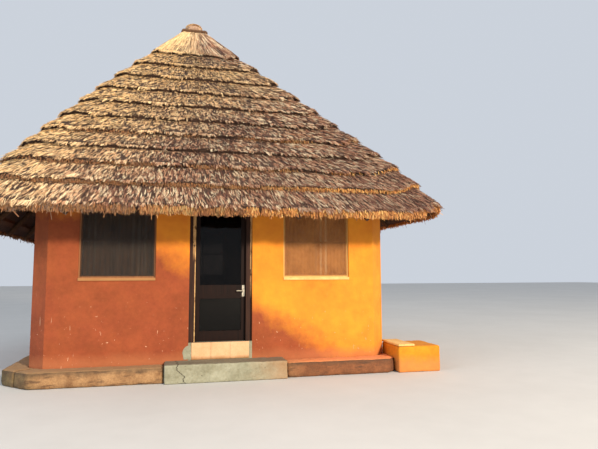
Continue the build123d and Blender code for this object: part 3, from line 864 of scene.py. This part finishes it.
def lay_course(name, node, seed, count, length, past, wild, lift=STALK_LIFT, last=0.3):
    """Stalks in small curly wisps down a course, some hanging over its foot.

    length is of one stalk, past is how far the last wisps may hang over the foot, wild
    is how untidy it is, lift is how far tips stand off, and last is the share of the
    wisps that end at the foot.
    """
    rng = np.random.default_rng(seed)
    band = RoofBand(node)
    tufts = max(12, int(band.round_length / TUFT_WIDTH))
    tuft_tone = rng.normal(0, 0.08, tufts)
    tuft_past = rng.uniform(-0.8, 1.0, tufts)
    wisps = count // STALKS_IN_A_WISP
    wisp_place = rng.uniform(0, 1, wisps)
    wisp_last = rng.uniform(0, 1, wisps) < last
    wisp_end = rng.uniform(0.05, 1.02, wisps)
    wisp_lean = rng.normal(0, 0.3 * wild, wisps)
    wisp_tone = rng.normal(WISP_TONE_MEAN, WISP_TONE_SPREAD, wisps)
    wisp_lift = rng.uniform(0.15, 1.0, wisps) ** 1.5
    wisp_past = rng.normal(0, 0.3, wisps)
    wisp = rng.integers(0, wisps, count)
    tuft = (wisp_place[wisp] * tufts).astype(int)
    places = wisp_place[wisp] + rng.normal(0, WISP_SPREAD, count) / band.round_length
    reach = length * rng.uniform(0.6, 1.2, count)
    sag = wavy(places, rng, (5, 9, 14, 19), 0.026) + wavy(places, rng, (31, 43, 59, 83), 0.012)
    at_foot = wisp_last[wisp]
    hang = past * (0.35 + tuft_past[tuft] * 0.4 + wisp_past[wisp] + rng.normal(0, 0.12, count))
    ends = wisp_end[wisp] + rng.normal(0, 0.012, count) / band.fall_length
    ends = np.where(at_foot, 1 + (hang + sag) / band.fall_length, ends)
    starts = np.maximum(ends - reach / band.fall_length, rng.uniform(0.0, 0.06, count))
    lean = (wisp_lean[wisp] + rng.normal(0, 0.05, count)) * reach / band.round_length
    normal = band.sample(band.normal, places)
    rise = lift * (0.2 + wisp_lift[wisp]) * rng.uniform(0.6, 1.0, count)
    head = band.point(places, starts) - normal * (0.3 * rise)[:, None]
    tip = band.point(places + lean, ends) + normal * rise[:, None]
    tip[:, 2] -= np.where(at_foot, 0.01 + 0.3 * np.maximum(hang + sag, 0), 0.0)
    widths = STALK_WIDTH * rng.uniform(0.6, 1.4, count)
    sides = turned_sides(unit(tip - head), normal, widths, rng, 0.6)
    tones = wisp_tone[wisp] + tuft_tone[tuft] + rng.normal(0, 0.08, count)
    ribbons(name, head, tip, sides, 0.6, tones, "straw")


def cut_ends(name, node, seed, bare):
    """Golden cut ends that peep out under a course's foot, in patches."""
    rng = np.random.default_rng(seed)
    band = RoofBand(node)
    count = int(CUT_ENDS_PER_LENGTH * band.round_length)
    places = rng.uniform(0, 1, count)
    patchy = wavy(places, rng, (5, 9, 14, 23), 1.0) + rng.normal(0, 0.4, count)
    places = places[patchy > bare]
    count = len(places)
    out = band.outward(places)
    top = band.foot_point(places) + out * rng.uniform(-0.03, 0.0, count)[:, None]
    top[:, 2] -= rng.uniform(0.005, 0.045, count)
    aim = out * rng.normal(0.6, 0.25, count)[:, None]
    aim[:, 2] = -1
    aim = unit(aim)
    fall = rng.uniform(0.02, 0.045, count)[:, None]
    widths = CUT_END_WIDTH * rng.uniform(0.6, 1.4, count)
    sides = turned_sides(aim, out, widths, rng, 0.6)
    tones = rng.normal(0.5, 0.42, count)
    ribbons(name, top, top + aim * fall, sides, 1.0, tones, "golden_straw")


def hang_fringe(name, node, seed, count):
    """The golden cut ends that show as uneven tufts along the eave."""
    rng = np.random.default_rng(seed)
    band = RoofBand(node)
    tufts = int(band.round_length / FRINGE_TUFT_WIDTH)
    tuft = rng.integers(0, tufts, count)
    centre = (np.arange(tufts) + rng.uniform(-0.35, 0.35, tufts)) / tufts
    drop = rng.uniform(0.0, 0.065, tufts)
    tuft_tone = rng.normal(0, 0.2, tufts)
    places = centre[tuft] + rng.uniform(-0.62, 0.62, count) / tufts
    off = np.abs(places - centre[tuft]) * tufts
    foot = band.foot_point(places)
    out = band.outward(places)
    depth = rng.uniform(0, 1, count)
    height = rng.uniform(0, 1, count)
    top = foot + out * (0.006 - FRINGE_DEPTH * depth[:, None])
    top[:, 2] -= 0.01 + FRINGE_HEIGHT * height
    fall = rng.uniform(0.03, 0.07, count)
    lowest = FRINGE_DROP + drop[tuft] * (1.1 - 1.6 * off) + wavy(places, rng, (4, 7, 11), 0.008)
    room = lowest + rng.uniform(-0.012, 0.018, count) - (foot[:, 2] - top[:, 2])
    fall = np.minimum(fall, room).clip(0.015)
    strays = rng.uniform(0, 1, count) < STRAY_SHARE
    fall = np.where(strays, fall + rng.uniform(0.03, 0.08, count), fall)
    aim = out * rng.normal(0.35, 0.25, count)[:, None]
    aim = aim + unit(band.sample(band.along(2), places)) * rng.normal(0, 0.3, count)[:, None]
    aim[:, 2] = -1
    aim = unit(aim)
    widths = FRINGE_STALK_WIDTH * rng.uniform(0.6, 1.5, count)
    sides = turned_sides(aim, out, widths, rng, 0.6)
    # Stalks further in under the eave are darker, as painted shade.
    tones = rng.normal(0.6, 0.32, count) + tuft_tone[tuft] - 0.3 * depth
    ribbons(name, top, top + aim * fall[:, None], sides, 0.8, tones, "golden_straw")


def thatch():
    """Stalks over the cap and every course, cut ends, and the fringe of the eave."""
    lay_course(
        "thatch_straw_cap", "thatch_cap", seed=100, count=CAP_STALKS, length=CAP_STALK_LENGTH,
        past=CAP_OVERHANG, wild=CAP_UNTIDY, lift=CAP_STALK_LIFT, last=0.6,
    )
    for k, node in enumerate(COURSES, start=1):
        band = RoofBand(node)
        count = int(STALKS_PER_AREA * band.round_length * band.fall_length)
        lower = k >= LOWER_COURSES
        lay_course(
            f"thatch_straw_{k:02d}", node, seed=100 + k, count=min(MOST_STALKS, count),
            length=LOWER_STALK_LENGTH if lower else STALK_LENGTH,
            past=NINTH_OVERHANG if k == 9 else OVERHANG,
            wild=LOWER_UNTIDY if lower else UNTIDY,
        )
        if k in CUT_ENDS_SHOW:
            cut_ends(f"cut_ends_{k:02d}", node, seed=500 + k, bare=CUT_ENDS_SHOW[k])
    hang_fringe("eave_fringe", COURSES[-1], seed=900, count=FRINGE_STALKS)


# Knob and binding at the peak


def tufted_knob():
    """Short cut stalks that stand out of the knob all round."""
    low, high = (np.array(corner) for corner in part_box("peak_knob"))
    middle, reach = (low + high) / 2, (high - low) / 2
    rng = np.random.default_rng(71)
    turn = rng.uniform(0, 2 * math.pi, KNOB_STALKS)
    rise = rng.uniform(-0.3, 1.0, KNOB_STALKS)
    up = np.clip(rise, 0, 1)
    ring = np.sqrt(np.clip(1 - up ** 2.5, 0.0, 1))
    out = np.stack([np.cos(turn) * ring, np.sin(turn) * ring, up], axis=1)
    spot = middle + out * reach * 0.93
    spot[:, 2] = middle[2] + rise * reach[2] * 0.9
    aim = unit(out * [1, 1, 0.4] + rng.normal(0, 0.25, (KNOB_STALKS, 3)) + [0, 0, -0.35])
    length = rng.uniform(0.025, 0.05, KNOB_STALKS)[:, None]
    widths = KNOB_STALK_WIDTH * rng.uniform(0.6, 1.4, KNOB_STALKS)
    sides = turned_sides(aim, unit(out + 0.01), widths, rng, 0.8)
    tones = rng.normal(0.72, 0.2, KNOB_STALKS)
    heads, tips = spot - aim * length * 0.5, spot + aim * length * 0.3
    ribbons("knob_straw", heads, tips, sides, 1.0, tones, "straw")


def ring_middle(node, count):
    """Points along the middle line of a ring round the roof, evenly spaced."""
    top = outer_loops("thatch_cap")[0][0]
    points = np.array([vertex.co[:] for vertex in NODES[node].data.vertices])
    turns = np.arctan2(points[:, 1] - top[1], points[:, 0] - top[0])
    order = np.argsort(turns)
    breaks = np.nonzero(np.diff(turns[order]) > 0.02)[0] + 1
    middle = np.array([points[part].mean(axis=0) for part in np.split(order, breaks)])
    return spread_round(middle, lengths_round(middle), count)


def twisted_binding():
    """A rope of twisted strands of grass round the foot of the knob."""
    middle = ring_middle("peak_binding", ROPE_POINTS)
    along = unit(np.roll(middle, -1, axis=0) - np.roll(middle, 1, axis=0))
    rise = np.array([0.0, 0.0, 1.0])
    out = unit(np.cross(along, rise))

    def across(k, angle):
        return out[k] * math.cos(angle) + rise * math.sin(angle)

    faces, places = [], []
    for strand in range(ROPE_STRANDS):
        first = len(places)
        for k in range(ROPE_POINTS):
            twist = 2 * math.pi * (k * ROPE_TURNS / ROPE_POINTS + strand / ROPE_STRANDS)
            core = middle[k] + ROPE_RADIUS * STRAND_SHARE * across(k, twist)
            rim = ROPE_RADIUS * (STRAND_SHARE + 0.08 * math.sin(k * 0.55 + strand))
            for step in range(ROPE_SIDES):
                places.append(core + rim * across(k, 2 * math.pi * step / ROPE_SIDES))
        for k in range(ROPE_POINTS):
            here = first + k * ROPE_SIDES
            there = first + (k + 1) % ROPE_POINTS * ROPE_SIDES
            for step in range(ROPE_SIDES):
                after = (step + 1) % ROPE_SIDES
                faces.append((here + step, here + after, there + after, there + step))
    piece = new_piece("binding_rope", places, faces, "rope")
    shade_smooth(piece.data)
    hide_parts("peak_binding")


# Windows


def grid_sheet(name, surface, material, rows, columns):
    """A sheet from surface(u, v) for u across and v up, both from 0 to 1."""
    points, faces = [], []
    for j in range(rows + 1):
        for i in range(columns + 1):
            points.append(surface(i / columns, j / rows))
    for j in range(rows):
        for i in range(columns):
            a = j * (columns + 1) + i
            faces.append((a, a + 1, a + columns + 2, a + columns + 1))
    piece = new_piece(name, points, faces, material)
    shade_smooth(piece.data)
    return piece


def gauze():
    """Insect gauze pinned flat over the outer face of each window frame."""
    low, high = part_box("window_frame_front_left")
    face = low.y - GAUZE_PROUD
    half = (high.x - low.x) / 2 - WINDOW_BORDER + GAUZE_OVERLAP
    bottom = low.z + WINDOW_BORDER - GAUZE_OVERLAP
    top = high.z - WINDOW_BORDER + GAUZE_OVERLAP
    for name, turn in WINDOW_TURNS.items():
        node = f"window_frame_{name}"
        own_low, own_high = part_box(node)
        middle = (own_low.x + own_high.x) / 2 if turn == 0 else 0.0
        spin = Matrix.Rotation(math.pi / 2 * turn, 3, "Z")

        def surface(u, v):
            sag = GAUZE_SAG * math.sin(math.pi * u) * math.sin(math.pi * v)
            sag *= math.sin(7.3 * u + 2.1 * v + turn)
            x = middle + half * (2 * u - 1)
            return spin @ Vector((x, face - abs(sag), bottom + (top - bottom) * v))

        # The front left window takes the darker gauze, as painted shade.
        shade = "shaded_gauze" if name == "front_left" else "brown_gauze"
        piece = grid_sheet(f"window_gauze_{name}", surface, shade, rows=12, columns=12)


def curtains():
    """Gathered cotton curtains that hang from the rods in soft uneven folds."""
    for side, seed in CURTAIN_SEEDS.items():
        node = f"curtain_front_{side}"
        low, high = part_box(node)
        starts = np.random.default_rng(seed).uniform(0, 2 * math.pi, 4)
        middle_y = (low.y + high.y) / 2
        width, drop = high.x - low.x, high.z - low.z

        def surface(u, v):
            x = u * width
            phase = 2 * math.pi * x / FOLD_WIDTH
            phase += 1.6 * math.sin(2 * math.pi * x / 0.43 + starts[0])
            phase += 0.5 * (1 - v) * math.sin(2 * math.pi * x / 0.27 + starts[1])
            depth = 0.010 + 0.005 * (1 - v) + 0.002 * math.sin(5 * x + starts[2])
            y = middle_y + depth * math.sin(phase)
            sway = 0.004 * (1 - v) * math.sin(phase * 0.5 + starts[3])
            x = min(max(low.x + x + sway, low.x), high.x)
            return (x, y, low.z + v * drop)

        name = f"curtain_cloth_{side}"
        piece = grid_sheet(name, surface, "cotton", rows=24, columns=320)
        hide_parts(node)


# Masonry worn by weather


def softened(solid, voxel, rounding):
    """A mesh of small even faces with rounded edges, from a mesh with sharp ones."""
    helper = bpy.data.objects.new("helper", solid)
    bpy.context.scene.collection.objects.link(helper)
    remesh = helper.modifiers.new("remesh", "REMESH")
    remesh.mode = "VOXEL"
    remesh.voxel_size = voxel
    smooth = helper.modifiers.new("smooth", "SMOOTH")
    smooth.factor = 0.5
    smooth.iterations = rounding
    shaped = bpy.data.meshes.new_from_object(
        helper.evaluated_get(bpy.context.evaluated_depsgraph_get())
    )
    bpy.data.objects.remove(helper)
    return shaped


def worn(name, node, material, slot_name, seed, voxel, rounding, dent):
    """The node's solid with rounded, slightly uneven edges, in its place."""
    mesh = softened(NODES[node].data.copy(), voxel, rounding)
    mesh.name = name
    places, normals = np.empty((2, len(mesh.vertices) * 3), np.float32)
    mesh.vertices.foreach_get("co", places)
    mesh.vertices.foreach_get("normal", normals)
    places, normals = places.reshape(-1, 3), normals.reshape(-1, 3)
    shift = Vector((seed, 0, 0))
    dents = [noise.fractal(Vector(spot) * 9 + shift, 0.9, 2.0, 4) for spot in places]
    depth = dent * np.maximum(0, np.array(dents) + 0.35)
    inside = np.clip(places - normals * depth[:, None], *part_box(node))
    mesh.vertices.foreach_set("co", inside.ravel())
    shade_smooth(mesh)
    mesh.materials.clear()
    piece = show(name, mesh, material)
    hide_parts(node)


def worn_masonry():
    """Worn meshes in place of the step, the plinth, the block and its coping."""
    worn(
        "worn_entry_step", "entry_step", "cement", "cement",
        seed=1, voxel=0.014, rounding=5, dent=0.007,
    )
    for k, run in enumerate(("front_left", "front_right", "right", "back", "left")):
        worn(
            f"worn_plinth_{run}", f"plinth_{run}", "plinth", "painted_plinth",
            seed=10 + k, voxel=0.023, rounding=4, dent=0.009,
        )
    worn(
        "worn_side_block", "side_block", "block", "painted_plinth",
        seed=20, voxel=0.016, rounding=4, dent=0.005,
    )
    worn(
        "worn_coping", "side_block_coping", "cream", "cream_cement",
        seed=30, voxel=0.008, rounding=4, dent=0.002,
    )


def cement_patch():
    """Bare cement where the plaster has fallen away beside the riser tiles."""
    tile_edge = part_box("riser_tiles")[0]
    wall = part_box("front_wall_left")[0].y
    middle = Vector((tile_edge.x - PATCH_LEFT, tile_edge.z + PATCH_UP))
    rng = np.random.default_rng(12)
    points = []
    for share, proud in PATCH_RIMS:
        for k in range(PATCH_POINTS):
            angle = 2 * math.pi * k / PATCH_POINTS
            uneven = 1 + 0.08 * math.sin(3 * angle + 1) + 0.03 * math.sin(7 * angle)
            x = PATCH_SIDE + PATCH_REACH * uneven * min(math.cos(angle), 0)
            z = max(PATCH_RISE * math.sin(angle), PATCH_FOOT)
            spot = middle + share * Vector((x, z))
            points.append((spot.x, wall - proud + 0.001 * rng.uniform(-1, 1), spot.y))
    points.append((middle.x, wall - PATCH_MIDDLE_PROUD, middle.y))
    faces = []
    for ring in range(2):
        for k in range(PATCH_POINTS):
            a, b = ring * PATCH_POINTS + k, ring * PATCH_POINTS + (k + 1) % PATCH_POINTS
            faces.append((a, b, b + PATCH_POINTS, a + PATCH_POINTS))
    inner = 2 * PATCH_POINTS
    for k in range(PATCH_POINTS):
        faces.append((inner + k, inner + (k + 1) % PATCH_POINTS, inner + PATCH_POINTS))
    new_piece("cement_patch", points, faces, "cement")


# Camera, light and floor


def place_camera():
    """The camera where the photograph was taken from, by yaw, pitch and roll."""
    forward = Vector((
        math.sin(CAMERA_YAW) * math.cos(CAMERA_PITCH),
        math.cos(CAMERA_YAW) * math.cos(CAMERA_PITCH),
        math.sin(CAMERA_PITCH),
    ))
    level = Vector((math.cos(CAMERA_YAW), -math.sin(CAMERA_YAW), 0))
    raised = level.cross(forward)
    right = level * math.cos(CAMERA_ROLL) + raised * math.sin(CAMERA_ROLL)
    up = raised * math.cos(CAMERA_ROLL) - level * math.sin(CAMERA_ROLL)
    data = bpy.data.cameras.new("camera")
    data.sensor_width = SENSOR_WIDTH
    data.lens = FOCAL_PIXELS / IMAGE_WIDTH * SENSOR_WIDTH
    data.clip_end = 200
    camera = bpy.data.objects.new("camera", data)
    turned = Matrix((right, up, -forward)).transposed().to_4x4()
    camera.matrix_world = Matrix.Translation(CAMERA_PLACE) @ turned
    bpy.context.scene.collection.objects.link(camera)
    bpy.context.scene.camera = camera


def area_light(name, place, target, size, power, tint):
    data = bpy.data.lights.new(name, "AREA")
    data.shape = "DISK"
    data.size = size
    data.energy = power
    data.color = tint
    lamp = bpy.data.objects.new(name, data)
    aim = (Vector(target) - Vector(place)).to_track_quat("-Z", "Y")
    lamp.matrix_world = Matrix.Translation(place) @ aim.to_matrix().to_4x4()
    bpy.context.scene.collection.objects.link(lamp)


def light_and_floor():
    """A warm key from the front right, a soft fill, a pale sky and floor."""
    warm, cool, sky = (1.0, 0.86, 0.68), (0.86, 0.92, 1.0), (0.80, 0.86, 0.95, 1)
    area_light("key", (11.5, -25, 11), (0, 0, 2.4), size=3.2, power=10800, tint=warm)
    area_light("fill", (-12, -8, 8), (0, 0, 2.5), size=8.0, power=900, tint=cool)
    world = bpy.data.worlds.new("studio")
    world.use_nodes = True
    background = world.node_tree.nodes["Background"]
    background.inputs["Color"].default_value = sky
    background.inputs["Strength"].default_value = 0.75
    bpy.context.scene.world = world
    bpy.context.scene.view_settings.view_transform = "Standard"
    reach = 60
    corners = [(-reach, -reach, 0), (reach, -reach, 0), (reach, reach, 0), (-reach, reach, 0)]
    mesh = bpy.data.meshes.new("floor")
    mesh.from_pydata(corners, [], [(0, 1, 2, 3)])
    mesh.materials.append(MATERIALS["floor"])
    floor = bpy.data.objects.new("floor", mesh)
    bpy.context.scene.collection.objects.link(floor)


paint_nodes()
thatch()
tufted_knob()
twisted_binding()
gauze()
curtains()
worn_masonry()
cement_patch()
place_camera()
light_and_floor()
